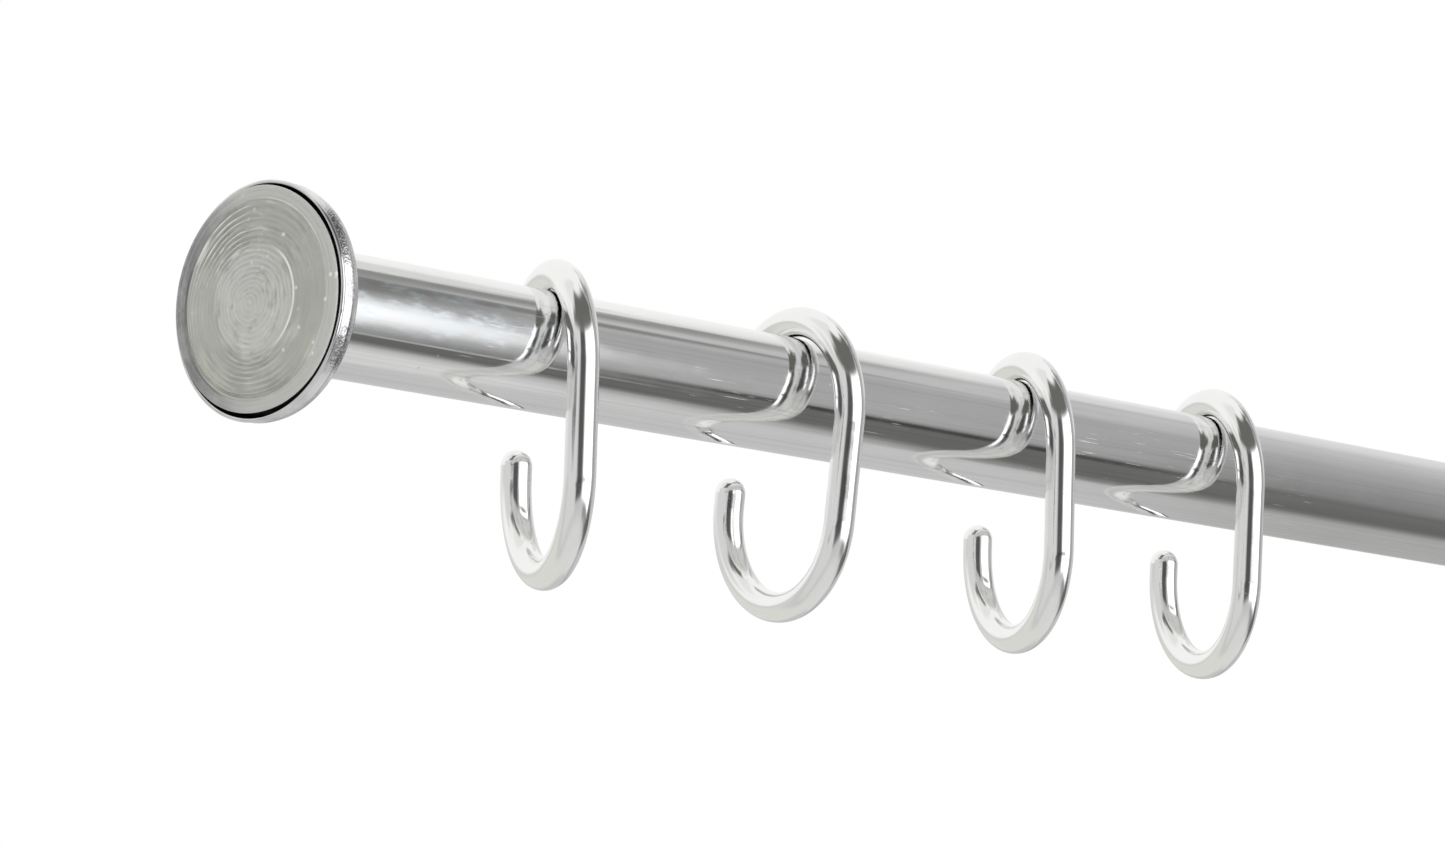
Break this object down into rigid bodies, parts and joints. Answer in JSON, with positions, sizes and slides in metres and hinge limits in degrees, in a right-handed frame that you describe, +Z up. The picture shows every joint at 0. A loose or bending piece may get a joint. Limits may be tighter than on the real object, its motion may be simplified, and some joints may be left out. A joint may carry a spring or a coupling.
{
  "type": "extendable tension rail",
  "caption": "Extendable chrome tension bar that braces between two walls or a window reveal, with ribbed rubber end pads, twist lock, inner spring and sliding C-hooks.",
  "frame": {"origin": "centre of the first end pad's nub, which is the point of the rail that first touches the wall", "axes": "+X along the rail towards its telescoping end, +Z up, hooks hanging down and open towards +Y"},
  "size_m": [0.6, 0.045, 0.0631],
  "materials": {
    "rail_chrome": "bright chrome plate with faint draw lines",
    "cup_chrome": "bright chrome plate over a finely grained pressing",
    "hook_chrome": "bright polished chrome plate",
    "pad_rubber": "translucent grey-green soft PVC, glossy",
    "collar_plastic": "white moulded plastic",
    "plug_plastic": "natural moulded plastic",
    "zinc_steel": "zinc-plated steel",
    "ring_nylon": "natural nylon",
    "core_nylon": "black nylon",
    "spring_steel": "oil-tempered spring wire"
  },
  "bodies": {
    "rail": {"outer_tube": "rail_chrome", "mouth_collar": "collar_plastic", "near_pad": "pad_rubber", "near_cup": "cup_chrome", "near_washer": "zinc_steel", "near_screw": "zinc_steel", "near_plug": "plug_plastic"},
    "glide": {"glide_ring": "ring_nylon"},
    "lock": {"lock_core": "core_nylon", "cam_washer": "zinc_steel", "cam_screw": "zinc_steel", "main_spring": "spring_steel"},
    "cam": {"cam_ring": "ring_nylon"},
    "sliding_tube": {"inner_tube": "rail_chrome", "cross_pin": "zinc_steel", "spring_stop": "plug_plastic", "far_plug": "plug_plastic", "far_cup": "cup_chrome", "far_washer": "zinc_steel", "far_screw": "zinc_steel", "far_pad": "pad_rubber"},
    "hook_1": {"hook_1": "hook_chrome"},
    "hook_2": {"hook_2": "hook_chrome"},
    "hook_3": {"hook_3": "hook_chrome"},
    "hook_4": {"hook_4": "hook_chrome"}
  },
  "joints": [
    {"name": "telescope", "type": "slide", "parent": "rail", "child": "glide", "axis": [1, 0, 0], "range_m": [0, 0.4]},
    {"name": "inner_tube_twist", "type": "hinge", "parent": "glide", "child": "lock", "pos_m": [0.05, 0, 0], "axis": [1, 0, 0], "range_deg": [-55, 55]},
    {"name": "cam_ring_turn", "type": "hinge", "parent": "lock", "child": "cam", "pos_m": [0.034, 0, 0.001], "axis": [1, 0, 0], "range_deg": [-55, 55]},
    {"name": "spring_compression", "type": "slide", "parent": "lock", "child": "sliding_tube", "axis": [1, 0, 0], "range_m": [-0.015, 0], "stiffness_N_per_m": 4000, "springref_m": 0.01, "deforming": ["main_spring"]},
    {"name": "hook_1_slide", "type": "slide", "parent": "rail", "child": "hook_1", "axis": [1, 0, 0], "range_m": [-0.048, 0.026]},
    {"name": "hook_2_slide", "type": "slide", "parent": "rail", "child": "hook_2", "axis": [1, 0, 0], "range_m": [-0.026, 0.027]},
    {"name": "hook_3_slide", "type": "slide", "parent": "rail", "child": "hook_3", "axis": [1, 0, 0], "range_m": [-0.027, 0.024]},
    {"name": "hook_4_slide", "type": "slide", "parent": "rail", "child": "hook_4", "axis": [1, 0, 0], "range_m": [-0.024, 0.2]}
  ],
  "couplings": [
    {"joint": "cam_ring_turn", "follows": "inner_tube_twist", "ratio": -1}
  ]
}
